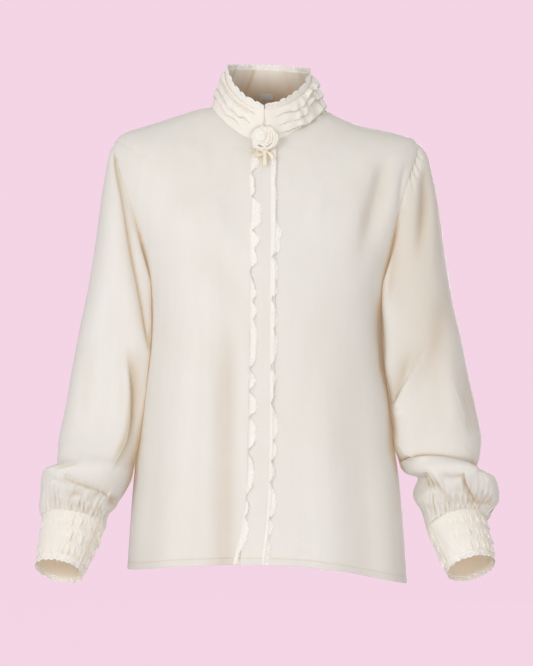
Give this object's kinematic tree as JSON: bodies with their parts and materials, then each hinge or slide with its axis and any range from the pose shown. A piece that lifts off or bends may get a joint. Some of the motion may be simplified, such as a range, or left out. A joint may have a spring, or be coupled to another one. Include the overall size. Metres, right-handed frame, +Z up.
{
  "type": "silk blouse",
  "caption": "Long-sleeved silk blouse with a ruffled, lace-edged stand collar, a ribbon rosette, a lace-trimmed placket and ruffled cuffs, hollow as worn.",
  "frame": {"origin": "middle of the neck base, level with the points where the shoulder seams meet the collar; the wearer's shoulders carry the garment there", "axes": "+Z up, the wearer faces -Y, the garment's right side is -X"},
  "size_m": [0.6231, 0.263, 0.7187],
  "materials": {
    "silk": "soft silk crepe, faint sheen",
    "silk_trim": "gathered silk, warm ivory",
    "lace": "cotton lace edging, matt",
    "label": "bare woven label"
  },
  "bodies": {
    "root": {"front_right": "silk", "front_left": "silk", "back": "silk", "sleeve_right": "silk", "sleeve_left": "silk", "placket": "silk", "collar_band": "silk_trim", "collar_ruffle_1": "silk_trim", "collar_ruffle_2": "silk_trim", "collar_ruffle_3": "silk_trim", "cuff_right": "silk_trim", "cuff_left": "silk_trim", "rosette": "silk_trim", "ribbon_knot": "silk_trim", "ribbon_loop": "silk_trim", "ribbon_tail_right": "silk_trim", "ribbon_tail_left": "silk_trim", "cuff_right_ruffle_1": "silk_trim", "cuff_right_ruffle_2": "silk_trim", "cuff_right_ruffle_3": "silk_trim", "cuff_left_ruffle_1": "silk_trim", "cuff_left_ruffle_2": "silk_trim", "cuff_left_ruffle_3": "silk_trim", "collar_lace": "lace", "placket_lace_right": "lace", "placket_lace_left": "lace", "cuff_right_lace": "lace", "cuff_left_lace": "lace", "neck_label": "label"}
  },
  "joints": []
}
